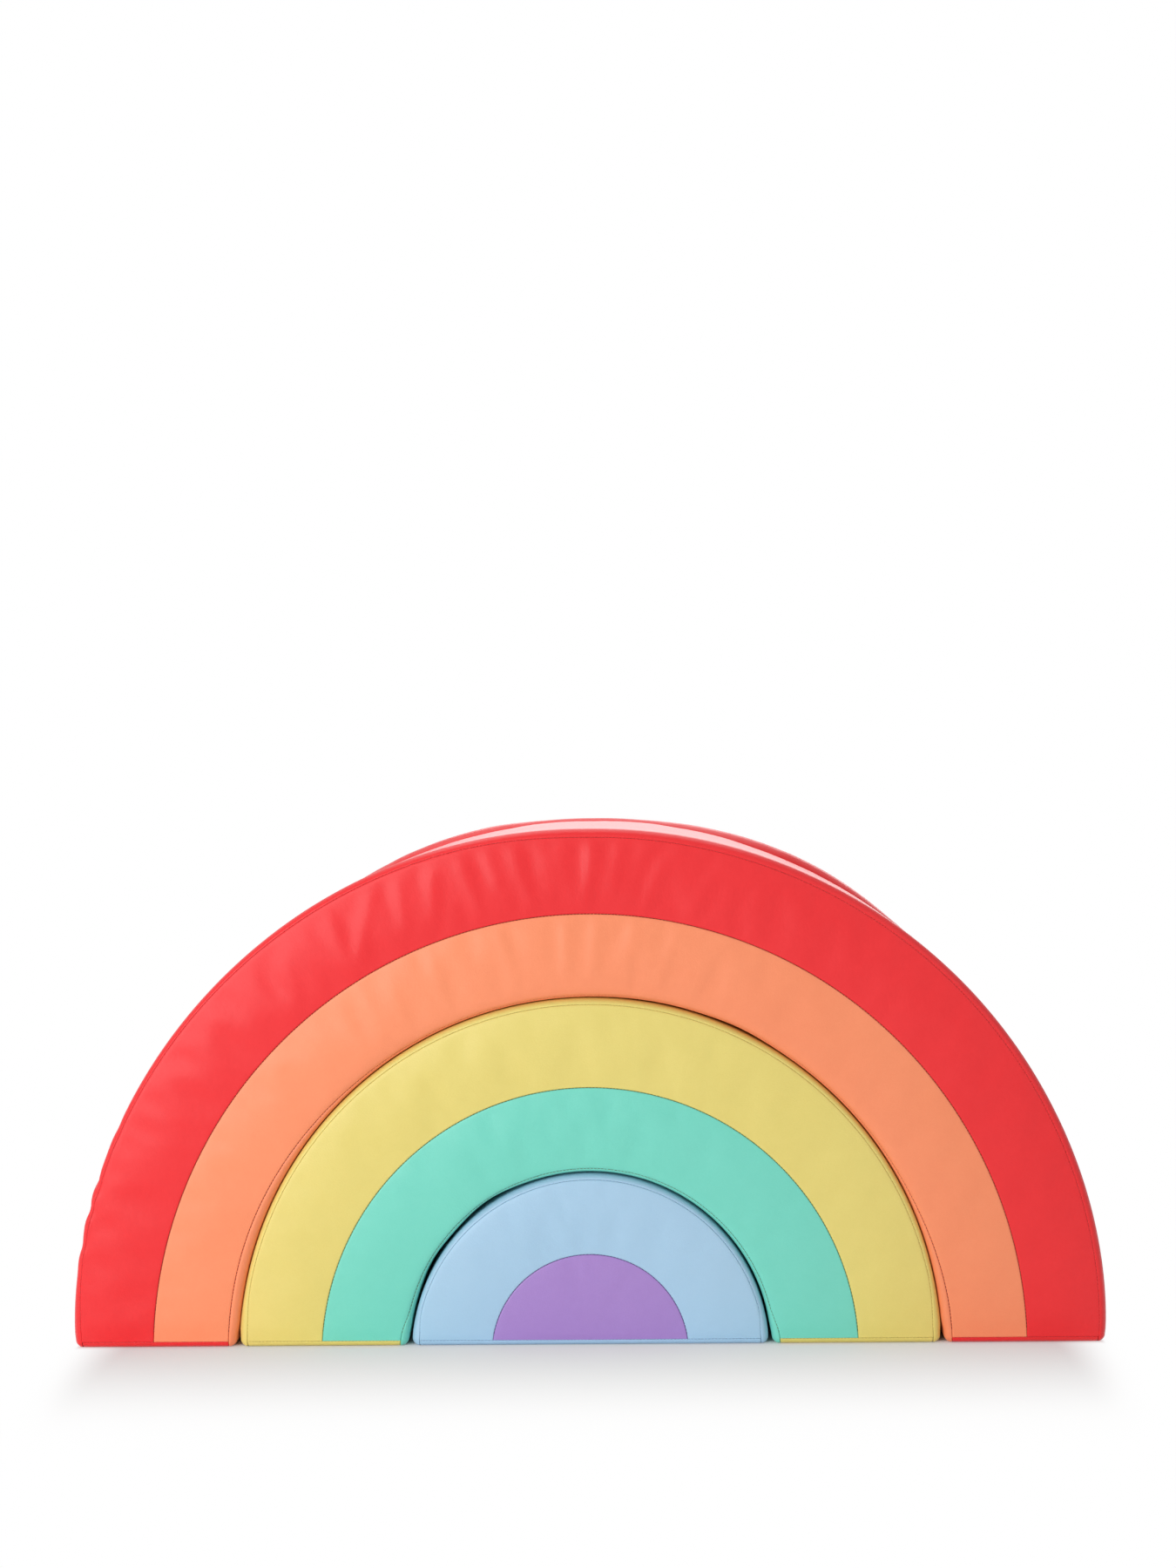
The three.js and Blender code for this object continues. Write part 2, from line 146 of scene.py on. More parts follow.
def grid_mesh(points, with_uvs=False):
    """A bmesh of quads through rows and columns of points, and the row and the column of each vertex."""
    rows, columns = points.shape[:2]
    shape = bmesh.new()
    if with_uvs:
        shape.loops.layers.uv.new("cloth")
    bmesh.ops.create_grid(shape, x_segments=columns - 1, y_segments=rows - 1, size=1, calc_uvs=with_uvs)
    spots = (np.array([vertex.co[:2] for vertex in shape.verts]) + 1) / 2
    order = tuple(np.rint(spots[:, ::-1] * (rows - 1, columns - 1)).astype(int).T)
    for vertex, point in zip(shape.verts, points[order]):
        vertex.co = point
    return shape, order


def make_piece(name, shape, body, *materials):
    """A smooth-shaded object from a bmesh, riding on a body."""
    bmesh.ops.remove_doubles(shape, verts=shape.verts, dist=1e-6)
    mesh = bpy.data.meshes.new(name)
    shape.to_mesh(mesh)
    shape.free()
    mesh.shade_smooth()
    piece = bpy.data.objects.new(name, mesh)
    scene.collection.objects.link(piece)
    for material in materials:
        mesh.materials.append(material)
    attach(piece, body)
    return piece


class Shade:
    """A socket of a material's node tree. Sums and products of shades add Math nodes."""

    def __init__(self, tree, socket=None):
        self.tree = tree
        self.socket = socket

    def node(self, kind, settings=None, sockets=None, output=0):
        """A new node: its settings first, then the values or links of its sockets."""
        made = self.tree.nodes.new(kind)
        for key, value in (settings or {}).items():
            if key == "stops":
                for element, (at, colour) in zip(list(made.color_ramp.elements), value):
                    element.position = at
                    element.color = colour
            else:
                setattr(made, key, value)
        self.feed(made, sockets or {})
        return Shade(self.tree, made.outputs[output])

    def feed(self, made, sockets):
        """Gives sockets of a node their values or links."""
        for key, value in sockets.items():
            if isinstance(value, Shade):
                self.tree.links.new(value.socket, made.inputs[key])
            else:
                made.inputs[key].default_value = value

    def math(self, operation, first, second):
        return self.node("ShaderNodeMath", {"operation": operation}, {0: first, 1: second})

    def __add__(self, other):
        return self.math("ADD", self, other)

    __radd__ = __add__

    def __mul__(self, other):
        return self.math("MULTIPLY", self, other)

    __rmul__ = __mul__

    def vector(self, operation, *values):
        return self.node("ShaderNodeVectorMath", {"operation": operation}, dict(enumerate(values)))

    def cells(self, where, scale):
        sockets = {"Vector": where, "Scale": scale}
        return self.node("ShaderNodeTexVoronoi", {"feature": "SMOOTH_F1"}, sockets)

    def noise(self, where, scale, detail):
        return self.node("ShaderNodeTexNoise", None, {"Vector": where, "Scale": scale, "Detail": detail})

    def ramp(self, mix, *stops):
        return self.node("ShaderNodeValToRGB", {"stops": stops}, {"Fac": mix})

    def bump(self, height, strength, depth):
        sockets = {"Strength": strength, "Distance": depth, "Height": height}
        return self.node("ShaderNodeBump", None, sockets)


def new_material(name):
    """An empty material, a Shade to add nodes with, and its Principled shader."""
    material = bpy.data.materials.new(name)
    material.use_nodes = True
    tree = material.node_tree
    return material, Shade(tree), tree.nodes["Principled BSDF"]


def linear(red, green, blue):
    """A colour as it is read off a screen, 0 to 255, as the renderer's own values."""
    parts = [value / 255 for value in (red, green, blue)]
    values = [p / 12.92 if p <= 0.04045 else ((p + 0.055) / 1.055) ** 2.4 for p in parts]
    return (*values, 1.0)


def foam_look():
    """Cut foam: fine open cells and faint patches of tone."""
    material, shade, surface = new_material("cut_foam")
    where = shade.node("ShaderNodeTexCoord", output="Object")
    cells = shade.cells(where, 700.0)
    mix = shade.noise(where, 14.0, 4.0) * 0.7 + cells * 0.3
    tone = shade.ramp(mix, (0.3, linear(233, 222, 192)), (0.7, linear(245, 238, 218)))
    bump = shade.bump(cells, 0.6, 0.0006)
    shade.feed(surface, {"Base Color": tone, "Roughness": cells * 0.1 + 0.86, "Normal": bump})
    return material


def with_feet(shares, deep):
    """Columns of a layer that turns under both feet: shares of the arc, how far it lies in, and heights."""
    turns = np.linspace(0, math.pi / 2, FOOT_ROWS, endpoint=False)
    foot_depth = EDGE_RADIUS - (EDGE_RADIUS - deep) * np.sin(turns)
    foot_height = EDGE_RADIUS - (EDGE_RADIUS - deep) * np.cos(turns)
    share = np.concatenate([0 * turns, shares, 0 * turns + 1])
    depth = np.concatenate([foot_depth, 0 * shares + deep, foot_depth[::-1]])
    height = np.concatenate([foot_height, 0 * shares + EDGE_RADIUS, foot_height[::-1]])
    return share, depth, height


cut_foam = foam_look()
for block in (outer_arch, middle_arch, half_disc):
    foam_columns = np.linspace(0, 1, block.columns // 2)
    foam_share, foam_depth, foam_height = with_feet(foam_columns, FOAM_BELOW_COVER)
    foam_mark = block.mark(np.linspace(0, block.distances[-1], FOAM_ROWS))[:, None]
    if block.is_arch:
        foam_depth = foam_depth + ZIP_GROOVE_DEPTH * (np.abs(foam_mark - 8.5) < ZIP_GROOVE_REACH)
    else:
        foam_height = np.maximum(foam_height, ZIP_GROOVE_DEPTH)
    core, _ = grid_mesh(block.place(foam_mark, foam_share, -foam_depth, foam_height))
    bmesh.ops.remove_doubles(core, verts=core.verts, dist=2e-4)
    bmesh.ops.holes_fill(core, edges=core.edges)
    bmesh.ops.recalc_face_normals(core, faces=core.faces)
    foam_piece = make_piece(block.body + "_foam_core", core, block.body, cut_foam)
    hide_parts(block.body + "_foam")


# The sewn covers: smooth leather cloth in two colours a block, cut as bands for the faces, a strip for the
# rim, two strips for the lining and panels for the base. The edges are turned in and sewn from inside, so
# each panel rolls down into its seams and the foam crowns it in between.
COVER_THICKNESS = 1.1
SEAM_GAP = 0.15
CROWN = 1.5
CROWN_POWER = 2.4
FULL_CROWN_POWER = 16.0
CROWN_RUN = 0.012
RIM_CROWN = {"outer_arch": 0.0, "middle_arch": 1.3, "half_disc": 1.3}
BASE_SEAM_HEIGHT = 7.0
PANEL_ROWS = 6.0
TIGHT_SEAM = 0.45
SEAM_ROLL = {0: 0.8, 1: 1.0, 2: TIGHT_SEAM, 5: TIGHT_SEAM, 6: 1.0, 7: 0.8}
ROLLED_EDGE = [(0.0, 2.4), (0.02, 1.3), (0.2, 0.65), (0.6, 0.25), (1.3, 0.06), (2.6, 0.0)]


def leather_look(name, colour, deep_colour):
    """Smooth leather cloth: a fine pebbled grain, faint patches of tone and a soft satin finish."""
    material, shade, surface = new_material(name)
    where = shade.node("ShaderNodeTexCoord", output="Object")
    grain = shade.cells(where, 600.0)
    creases = shade.noise(where, 90.0, 5.0)
    patches = shade.noise(where, 5.0, 3.0)
    mix = patches * 0.55 + creases * 0.25 + grain * 0.2
    look = {
        "Base Color": shade.ramp(mix, (0.25, deep_colour), (0.75, colour)),
        "Roughness": grain * 0.1 + patches * 0.08 + 0.3,
        "Specular IOR Level": 0.3,
        "Coat Weight": 0.1,
        "Coat Roughness": 0.2,
        "Normal": shade.bump(grain * 0.5 + creases, 0.6, 0.0003),
    }
    shade.feed(surface, look)
    return material


LEATHER_TONES = {
    "red": [(243, 50, 54), (237, 42, 47)],
    "orange": [(255, 153, 110), (250, 144, 101)],
    "yellow": [(236, 219, 128), (230, 212, 118)],
    "teal": [(126, 222, 203), (117, 217, 197)],
    "blue": [(176, 211, 237), (169, 206, 233)],
    "purple": [(176, 141, 211), (168, 132, 204)],
}
leathers = {}
for colour, tones in LEATHER_TONES.items():
    leathers[colour] = leather_look(colour + "_leather", *[linear(*tone) for tone in tones])


def smooth(value):
    """A soft step: 0 below 0, 1 above 1."""
    value = np.clip(value, 0, 1)
    return value * value * (3 - 2 * value)


def crown_share(block, mark, share):
    """How much of its crown the skin has above the foot: none on the floor, all of it further up."""
    height = block.place(mark, share, 0.0, EDGE_RADIUS)[..., 2] / MM - EDGE_RADIUS
    return smooth(height / (CROWN_RUN * block.rim_length))


# How far seams lie from their places in the CAD, round the skin: the seam of the opening and the front seam
# of the rim on the rounded edges, and the back seam of the rim forward of its edge, above the feet.
OPENING_SEAM_TURN = {"outer_arch": 11.0, "middle_arch": 6.0}
RIM_SEAM_TURN = {"outer_arch": 3.5, "middle_arch": 4.0, "half_disc": 4.0}
BACK_SEAM_LAP = {"outer_arch": 23.0, "middle_arch": 8.0, "half_disc": 8.0}
BACK_SEAM_WANDER = 14.0
FOOT_SHARE = 0.06
BULGES = (0.37, 0.63)
BULGE_WIDTH = 0.07


def beside_top(share):
    """How near a spot is to the two places where the back panel of the outer arch bulges over the rim."""
    return sum(np.exp(-((share - middle) / BULGE_WIDTH) ** 2) for middle in BULGES)


def seam_distance(block, seam, share):
    """Where a seam runs on the skin, from foot to foot."""
    distance = block.distance(seam) + 0 * share
    from_foot = np.minimum(share, 1 - share)
    above_foot = smooth(from_foot / FOOT_SHARE)
    if seam == 0 and block.is_arch:
        turned = above_foot
        if block is outer_arch:
            turned = smooth(np.minimum(share / 0.2, (0.94 - share) / 0.3))
        distance = distance - OPENING_SEAM_TURN[block.body] * turned
    if seam == 2:
        turned = above_foot
        if block is outer_arch:
            turned = smooth((share - 0.5) / 0.1) * smooth((1 - share) / FOOT_SHARE)
        distance = distance + RIM_SEAM_TURN[block.body] * turned
    if seam == 5:
        distance = distance - BACK_SEAM_LAP[block.body] * smooth(from_foot / 0.3)
    if seam == 5 and block is outer_arch:
        distance = distance - BACK_SEAM_WANDER * beside_top(share)
    return distance


def outside(block, mark, share):
    """A point of the skin and the way that it faces."""
    spot, above = [Vector(block.place(mark, share, rise, EDGE_RADIUS)) for rise in (0.0, 5.0)]
    return spot, (above - spot).normalized()


def turn_outwards(sheet, facing):
    """Turns a sheet's faces the way that the skin faces at one spot."""
    sheet.normal_update()
    sheet.faces.ensure_lookup_table()
    spot, way = facing
    nearest = min(sheet.faces, key=lambda face: (face.calc_center_median() - spot).length)
    if nearest.normal.dot(way) < 0:
        bmesh.ops.reverse_faces(sheet, faces=sheet.faces)


# A cover is cut a little long and settles over its foam in soft puckers between the seams. Each one is let
# go as cloth with a little pressure under it, and how far it comes to rest off the foam is kept.
CLOTH_CELL = 9.0
SPARE_CLOTH = 0.008
SLACK = {"outer_arch": 1.0, "middle_arch": 0.5, "half_disc": 0.4}
PANEL_SLACK = np.array([0.5, 1.0, 0.3, 0.3, 0.3, 0.7, 0.6])
PUCKER_LIMIT = 2.2
RIM_PUCKER_LIMIT = 0.5
DENT_LIMIT = 0.5
CLOTH_FRAMES = 20
CLOTH_SETTINGS = {
    "quality": 5,
    "mass": 0.3,
    "tension_stiffness": 40.0,
    "compression_stiffness": 40.0,
    "shear_stiffness": 15.0,
    "bending_stiffness": 3.0,
    "air_damping": 2.0,
    "use_pressure": True,
    "uniform_pressure_force": 0.2,
    "shrink_min": -SPARE_CLOTH,
    "shrink_max": 0.0,
}


def slack_at(block, mark, share):
    """Share of the spare cloth at a spot: most of it lies at the top, left of the middle."""
    panel = PANEL_SLACK[np.clip(np.floor(mark).astype(int), 0, 6)]
    top = smooth((share - 0.32) / 0.1) * smooth((0.78 - share) / 0.1)
    return SLACK[block.body] * panel * (0.3 + 0.7 * top)


def settle_cover(block):
    """Lets the cover of a block settle, and returns its marks and how far it rests off the foam there."""
    stops = block.distances[:8].copy()
    if not block.is_arch:
        stops[[0, 7]] += (CLOTH_CELL, -CLOTH_CELL)
    runs = zip(stops[:-1], stops[1:])
    parts = [np.linspace(a, b, max(2, round((b - a) / CLOTH_CELL)) + 1)[:-1] for a, b in runs]
    distance = np.concatenate(parts + [stops[-1:]])[:, None]
    share = np.linspace(0, 1, round(block.rim_length / CLOTH_CELL))[None, :]
    mark = block.mark(distance)
    start = crown_at(block, mark, share) + front_folds(block, mark, share)
    points = block.place(mark, share, start, EDGE_RADIUS)
    above = block.place(mark, share, start + 1.0, EDGE_RADIUS)
    sewn = (share == 0) | (share == 1) | (distance == stops[0]) | (distance == stops[-1])
    for seam in (1, 2, 5, 6):
        sewn = sewn | (np.abs(distance - seam_distance(block, seam, share)) <= CLOTH_CELL / 2)
    slack = slack_at(block, mark, share)
    sheet, order = grid_mesh(points)
    turn_outwards(sheet, outside(block, 3.5, 0.5))
    mesh = bpy.data.meshes.new("settling_cover")
    sheet.to_mesh(mesh)
    sheet.free()
    cover = bpy.data.objects.new("settling_cover", mesh)
    scene.collection.objects.link(cover)
    pins = cover.vertex_groups.new(name="sewn")
    tight = cover.vertex_groups.new(name="tight")
    for index, (pinned, loose) in enumerate(zip(sewn[order], slack[order])):
        pins.add([index], float(pinned), "REPLACE")
        tight.add([index], 1 - float(loose), "REPLACE")
    cloth = cover.modifiers.new("cloth", "CLOTH")
    for key, value in CLOTH_SETTINGS.items():
        setattr(cloth.settings, key, value)
    cloth.settings.vertex_group_mass = pins.name
    cloth.settings.vertex_group_shrink = tight.name
    cloth.settings.effector_weights.gravity = 0.0
    cloth.collision_settings.use_collision = False
    cloth.point_cache.frame_start = 1
    cloth.point_cache.frame_end = CLOTH_FRAMES
    for step in range(1, CLOTH_FRAMES + 1):
        scene.frame_set(step)
    settled = cover.evaluated_get(bpy.context.evaluated_depsgraph_get()).data
    rest = np.zeros_like(points)
    rest[order] = [vertex.co for vertex in settled.vertices]
    bpy.data.objects.remove(cover)
    bpy.data.meshes.remove(mesh)
    scene.frame_set(1)
    off = ((rest - points) * (above - points)).sum(axis=-1) / MM ** 2
    nested_rim = (block is not outer_arch) & (mark >= 2) & (mark <= 5)
    limit = np.where(off > 0, np.where(nested_rim, RIM_PUCKER_LIMIT, PUCKER_LIMIT), DENT_LIMIT)
    return mark[:, 0], limit * np.tanh(off / limit)


def curve_sample(grid, row, column):
    """Values of a grid between its points, along smooth curves."""
    total = 0.0
    first_row, first_column = np.floor(row).astype(int), np.floor(column).astype(int)
    for i in range(4):
        for j in range(4):
            at_row = np.clip(first_row - 1 + i, 0, grid.shape[0] - 1)
            at_column = np.clip(first_column - 1 + j, 0, grid.shape[1] - 1)
            weight = curve_weight(row - first_row, i) * curve_weight(column - first_column, j)
            total = total + weight * grid[at_row, at_column]
    return total


def curve_weight(part, i):
    """How much each of four neighbouring points counts, part of the way from the second to the third."""
    weights = (
        (1 - part) ** 3,
        3 * part ** 3 - 6 * part ** 2 + 4,
        -3 * part ** 3 + 3 * part ** 2 + 3 * part + 1,
        part ** 3,
    )
    return weights[i] / 6


def crown_at(block, mark, share):
    """How far the foam holds the skin out between its seams."""
    distance = block.distance(mark)
    distance = distance - np.where(mark > 8.5, block.distances[-1], 0)
    rise = 0 * (distance + share)
    seams = [seam_distance(block, seam, share) for seam in (0, 1, 2, 5, 6, 7)]
    if not block.is_arch:
        seams[0] = seams[0] - seams[1]
        seams[5] = seams[5] + block.distance(7) - seams[4]
    heights = [CROWN, CROWN, RIM_CROWN[block.body], CROWN, CROWN]
    powers = [CROWN_POWER] * 5
    if block is middle_arch:
        powers[2] = FULL_CROWN_POWER
    for low, high, height, power in zip(seams[:-1], seams[1:], heights, powers):
        across = np.clip((distance - low) / (high - low), 0, 1)
        rise = rise + height * (1 - np.abs(2 * across - 1) ** power)
    return rise * crown_share(block, mark, share)


# Creases where the rim of the outer arch is pressed together above its left foot: heights and depths.
RIM_CREASES = [(114.0, 1.2), (150.0, 1.6), (185.0, 1.4), (243.0, 0.6)]
CREASE_WIDTH = 7.0
CREASE_SLANT = 5.0


def rim_folds(block, mark, share):
    """The creases in the rim, each with a soft swelling below it."""
    if block is not outer_arch:
        return 0.0
    height = block.rim_length / math.pi * np.sin(math.pi * share)
    fold = 0.0
    for at, depth in RIM_CREASES:
        slant = CREASE_SLANT * np.sin(mark * 2.3 + at)
        near = (height + slant - at) / CREASE_WIDTH
        fold = fold + depth * (0.7 * np.exp(-((near + 2.4) / 1.6) ** 2) - np.exp(-near ** 2))
    on_rim = smooth((mark - 1.9) / 0.4) * smooth((5.1 - mark) / 0.4)
    return fold * on_rim * (share > 0.5)


LIP_HEIGHT = 3.5
LIP_BULGE = 4.5
LIP_ROLL = 15.0
LIP_END = 18.0
LIP_SLOPE = 30.0
RIM_DIP = 1.2


def back_lip(block, mark, share):
    """The turned edge of the outer arch's back panel stands up behind its seam at the top of the rim."""
    if block is not outer_arch:
        return 0.0
    past_seam = block.distance(mark) - seam_distance(block, 5, share)
    rolled = 1 - (1 - np.clip(past_seam / LIP_ROLL, 0, 1)) ** 2
    lip = rolled * (1 - smooth((past_seam - LIP_END) / LIP_SLOPE))
    top = smooth((share - 0.2) / 0.15) * smooth((0.74 - share) / 0.2)
    on_rim = smooth((mark - 3.0) / 0.3) * smooth((6 - mark) / 0.5)
    bulge = beside_top(share)
    return lip * top * (LIP_HEIGHT + LIP_BULGE * bulge) - RIM_DIP * bulge * on_rim


# Soft folds across the front of the outer arch, from its rim to its opening. Each has the angle at which it
# starts and at which it ends, from the right foot, where it starts and ends across a band, and its height.
RED_FOLDS = [
    (121.1, 122.6, 0.0, 1.0, 0.70),
    (115.2, 122.2, 0.0, 1.0, 1.05),
    (112.4, 114.3, 0.0, 0.9, 1.05),
    (108.1, 110.4, 0.0, 0.9, 1.17),
    (104.8, 104.2, 0.0, 1.0, 1.17),
    (101.9, 100.4, 0.0, 0.7, 0.94),
    (98.5, 97.4, 0.0, 1.0, 1.05),
    (89.4, 90.3, 0.0, 1.0, 1.17),
    (85.9, 87.6, 0.0, 0.9, 0.82),
    (80.6, 82.7, 0.1, 1.0, 1.05),
    (74.8, 76.2, 0.2, 1.0, 0.70),
    (128.0, 130.5, 0.1, 0.9, 0.47),
    (68.5, 70.0, 0.2, 0.9, 0.41),
]
ORANGE_FOLDS = [
    (122.9, 124.0, 0.0, 1.0, 0.36),
    (118.5, 119.5, 0.0, 1.0, 0.42),
    (112.0, 112.6, 0.0, 1.0, 0.48),
    (102.2, 101.6, 0.0, 1.0, 0.60),
    (92.9, 93.6, 0.0, 1.0, 0.60),
    (88.9, 89.2, 0.0, 1.0, 0.54),
    (83.7, 84.2, 0.0, 1.0, 0.54),
    (77.9, 79.0, 0.0, 1.0, 0.60),
    (71.5, 73.5, 0.0, 1.0, 0.48),
]
FOLD_WIDTH = 8.5


def front_folds(block, mark, share):
    """The soft folds, each a low ridge that fades at its ends and at the seams."""
    if block is not outer_arch:
        return 0.0
    rise = 0.0
    for folds, outer_seam, inner_seam in ((RED_FOLDS, 2, 1), (ORANGE_FOLDS, 1, 0)):
        across = (outer_seam - mark) / (outer_seam - inner_seam)
        inside = smooth(across / 0.1) * smooth((1 - across) / 0.1)
        for start, end, from_rim, to_opening, height in folds:
            at = (start + across * (end - start)) / 180
            aside = (share - at) * block.rim_length / FOLD_WIDTH
            along = smooth((across - from_rim) / 0.2) * smooth((to_opening - across) / 0.25)
            rise = rise + height * np.exp(-aside ** 2) * along * inside
    return rise


# Where the front of a lining lies back from the block inside it: shares of the arc, widths and depths.
LOOSE_SPOTS = {
    "outer_arch": [(0.42, 0.06, 1.2), (0.355, 0.03, 1.6)],
    "middle_arch": [(0.70, 0.06, 2.6), (0.85, 0.05, 1.8)],
    "half_disc": [],
}


def loose_lining(block, mark, share):
    """How far the front half of a lining lies back at its loose spots."""
    wave = 0.0
    for at, width, depth in LOOSE_SPOTS[block.body]:
        wave = wave + depth * np.exp(-((share - at) / width) ** 2)
    return -wave * smooth(10 - mark) * smooth((mark - 8.7) / 0.2)


def skin_rise(block, mark, share):
    """How far the settled cover stands off the foam block."""
    row = np.interp(mark, block.cover_marks, np.arange(len(block.cover_marks)))
    puckers = curve_sample(block.cover_rise, row, share * (block.cover_rise.shape[1] - 1))
    rise = crown_at(block, mark, share) + front_folds(block, mark, share) + puckers
    for pressed in (rim_folds, back_lip, loose_lining):
        rise = rise + pressed(block, mark, share)
    return rise


for block in (outer_arch, middle_arch, half_disc):
    block.cover_marks, block.cover_rise = settle_cover(block)


def rolled_rows(length, spacing, first=1.0, last=1.0):
    """Rows across a panel: shares of its width, distances in from its edges, depths of the rolled edges.

    First and last say how deep the two edges roll: 1 in an open seam, less where it is drawn tight."""
    inner = np.arange(1, round(length / spacing)) / round(length / spacing)
    edge = np.array(ROLLED_EDGE)
    share = np.concatenate([0 * edge[:, 0], inner, 0 * edge[:, 0] + 1])
    step = np.concatenate([edge[:, 0] + SEAM_GAP, 0 * inner, -edge[::-1, 0] - SEAM_GAP])
    sink = np.concatenate([first * edge[:, 1], 0 * inner, last * edge[::-1, 1]])
    return share[:, None], step[:, None], sink[:, None]


def thicken(sheet, thickness):
    """Gives a sheet its thickness, on the inside."""
    wall = sheet.modifiers.new("thickness", "SOLIDIFY")
    wall.thickness = thickness * MM
    wall.offset = -1


def cover_piece(name, points, body, colour, facing):
    """A sheet of the cover through rows of points, in one of the six leathers."""
    sheet, _ = grid_mesh(points)
    bmesh.ops.remove_doubles(sheet, verts=sheet.verts, dist=1e-6)
    turn_outwards(sheet, facing)
    piece = make_piece(name + "_cloth", sheet, body, leathers[colour])
    thicken(piece, COVER_THICKNESS)
    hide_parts(name)
    colour + "_cover"


def face_panel(name, block, start, end, colour):
    """One coloured band of a face, from seam to seam, and rolled in along the base."""
    foot_rows = rolled_rows(block.columns, 1.0, TIGHT_SEAM, TIGHT_SEAM)
    along, along_step, foot_sink = [part.T for part in foot_rows]
    share = along + along_step / block.rim_length
    low, high = seam_distance(block, start, share), seam_distance(block, end, share)
    width = block.distance(end) - block.distance(start)
    across, step, sink = rolled_rows(width, PANEL_ROWS, SEAM_ROLL[start], SEAM_ROLL[end])
    if not block.is_arch and start == 0:
        across, step, sink = [part[len(ROLLED_EDGE) - 1:] for part in (across, step, sink)]
        step[0] = 0.0
    if not block.is_arch and end == 7:
        across, step, sink = [part[:1 - len(ROLLED_EDGE)] for part in (across, step, sink)]
        step[-1] = 0.0
    mark = block.mark(low + across * (high - low) + step)
    rise = skin_rise(block, mark, share) - np.maximum(sink, foot_sink)
    points = block.place(mark, share, rise, BASE_SEAM_HEIGHT + SEAM_GAP)
    cover_piece(name, points, block.body, colour, outside(block, (start + end) / 2, 0.5))


def rim_strip(name, block, colour):
    """The strip over a rim: it turns over the rounded edges and under both feet."""
    share, depth, height = with_feet(np.linspace(0, 1, block.columns), 0.0)
    low, high = seam_distance(block, 2, share), seam_distance(block, 5, share)
    width = block.distance(5) - block.distance(2)
    across, step, sink = rolled_rows(width, PANEL_ROWS, TIGHT_SEAM, TIGHT_SEAM)
    mark = block.mark(low + across * (high - low) + step)
    rise = skin_rise(block, mark, share) - sink - depth
    points = block.place(mark, share, rise, height)
    cover_piece(name, points, block.body, colour, outside(block, 3.5, 0.5))


for block, outer, inner in (
    (outer_arch, "red", "orange"),
    (middle_arch, "yellow", "teal"),
    (half_disc, "blue", "purple"),
):
    face_panel(outer + "_front_panel", block, 1, 2, outer)
    face_panel(inner + "_front_panel", block, 0, 1, inner)
    face_panel(outer + "_back_panel", block, 5, 6, outer)
    face_panel(inner + "_back_panel", block, 6, 7, inner)
    rim_strip(outer + "_rim_gusset", block, outer)


# The linings of the two openings: a front and a back strip of the inner colour, sewn to each other at the
# feet. Between them the zip lies in a shallow trough, with the edges of the strips turned in beside it.
ZIP_SINK = 3.0
ZIP_SLOT = 5.2
TROUGH_SIDE = 14.6
TROUGH_SLOPE = 7.0
LINING_CROWN = {"outer_arch": 2.2, "middle_arch": 2.0}
LINING_POWER = {"outer_arch": FULL_CROWN_POWER, "middle_arch": CROWN_POWER}
ZIP_ENDS = {"outer_arch": 0.1, "middle_arch": 0.125}
ZIP_RAMPS = {"outer_arch": 1 / 30, "middle_arch": 1 / 24}
LINING_ROWS = 3.5


def lining_strip(name, block, is_front, colour):
    """One strip of a lining, from the seam of its face to its seam or its zip in the middle."""
    share, depth, height = with_feet(np.linspace(0, 1, block.columns), 0.0)
    from_end = np.minimum(share, 1 - share) - ZIP_ENDS[block.body]
    zipped = smooth(1 + from_end / ZIP_RAMPS[block.body])
    middle = block.distance(8.5)
    edge = block.distance(10) + seam_distance(block, 0, share) if is_front else block.distance(7)
    slot_edge = middle + (1 if is_front else -1) * ZIP_SLOT * zipped
    low, high = (slot_edge, edge) if is_front else (edge, slot_edge)
    across, step, sink = rolled_rows(block.distance(10) - middle, LINING_ROWS)
    distance = low + across * (high - low) + step
    trough = 1 - smooth((np.abs(distance - middle) - TROUGH_SIDE) / TROUGH_SLOPE)
    swell = np.abs(edge - distance) / (block.distance(10) - middle - TROUGH_SIDE)
    swell = 1 - np.abs(2 * np.clip(swell, 0, 1) - 1) ** LINING_POWER[block.body]
    mark = block.mark(distance)
    swell = LINING_CROWN[block.body] * swell * crown_share(block, mark, share)
    swell = swell + loose_lining(block, mark, share)
    points = block.place(mark, share, swell - sink - depth - ZIP_SINK * zipped * trough, height)
    cover_piece(name, points, block.body, colour, outside(block, 8.8 if is_front else 8.2, 0.5))


for block, colour in ((outer_arch, "orange"), (middle_arch, "teal")):
    lining_strip(colour + "_inner_gusset_front", block, True, colour)
    lining_strip(colour + "_inner_gusset_back", block, False, colour)


# The base panels: leather cloth of the outer colour under each foot, turned up at the front and the back.
# The half disc's base is two strips with a zip between them, and the cover comes off through it.
BASE_ZIP_END = 164.6
BASE_ROWS = 5.0


def base_spot(along):
    """The base's outline from its front seam to its back seam: depth, height, and which way is out."""
    turn_length = EDGE_RADIUS * math.pi / 2
    side = np.where(along < turn_length + EDGE_DEPTH, -1, 1)
    from_seam = np.minimum(along, 2 * turn_length + 2 * EDGE_DEPTH - along)
    turn = np.clip(1 - from_seam / turn_length, 0, 1) * math.pi / 2
    flat = np.clip(turn_length + EDGE_DEPTH - from_seam, 0, EDGE_DEPTH)
    out_y, out_z = side * np.sin(turn), -np.cos(turn)
    return side * flat + EDGE_RADIUS * out_y, EDGE_RADIUS * (1 + out_z), out_y, out_z


